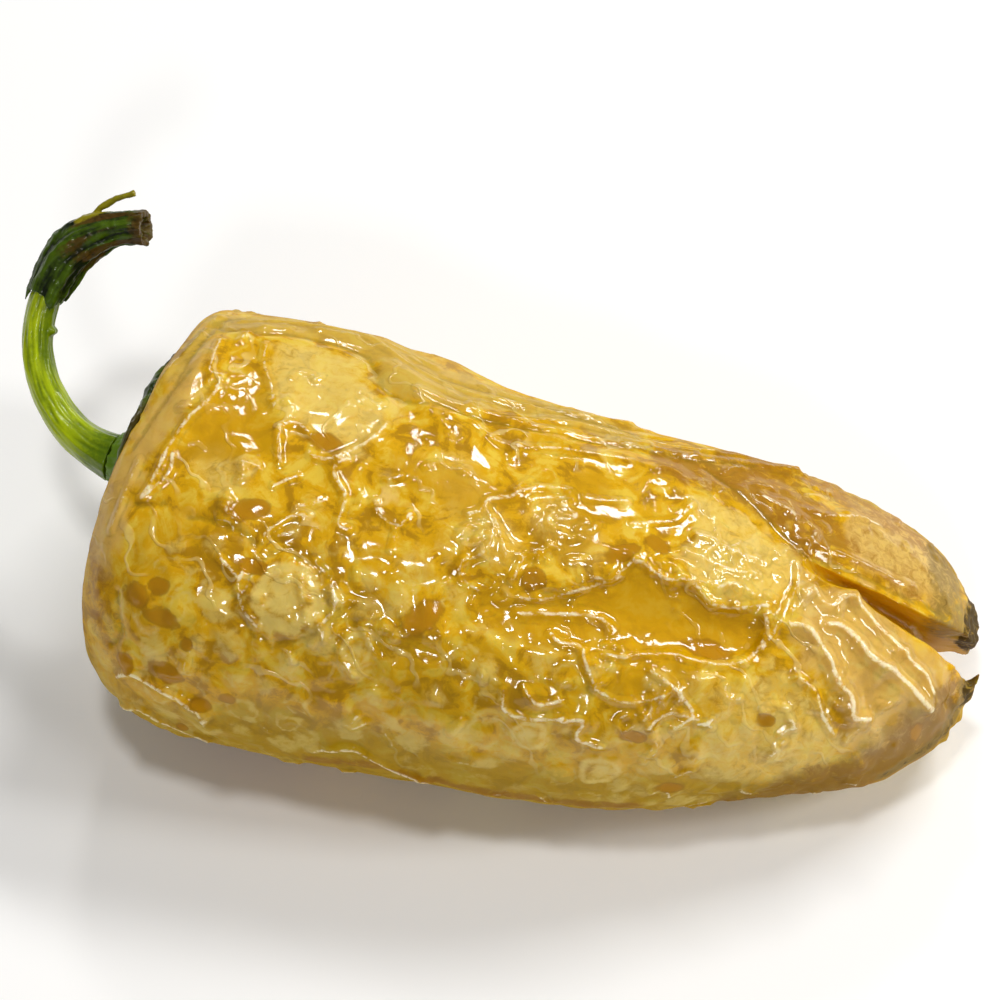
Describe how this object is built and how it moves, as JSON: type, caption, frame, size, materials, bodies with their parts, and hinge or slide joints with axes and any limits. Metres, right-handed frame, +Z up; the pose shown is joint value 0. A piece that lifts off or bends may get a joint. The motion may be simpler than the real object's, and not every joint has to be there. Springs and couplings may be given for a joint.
{
  "type": "roasted chilli pepper",
  "caption": "Whole roasted chilli pepper lying on its side, with a wide shoulder, a split two-lobed tip, and a hooked stem with a withered sheath.",
  "frame": {"origin": "on the flat spot that the pod rests on, under the middle of the pod's length", "axes": "+X from the stem end to the blossom end, +Z up, -Y towards the side that shows the cleft best"},
  "size_m": [0.1009, 0.0473, 0.0374],
  "materials": {
    "roasted_skin": "oily, translucent, blistered roasted skin",
    "calyx_green": "dull dark green plant tissue",
    "stem_green": "waxy bright green stem",
    "withered_green": "wrinkled dried dark green skin"
  },
  "bodies": {
    "root": {"pod": "roasted_skin", "calyx": "calyx_green", "stem": "stem_green", "stem_sheath": "withered_green"}
  },
  "joints": []
}
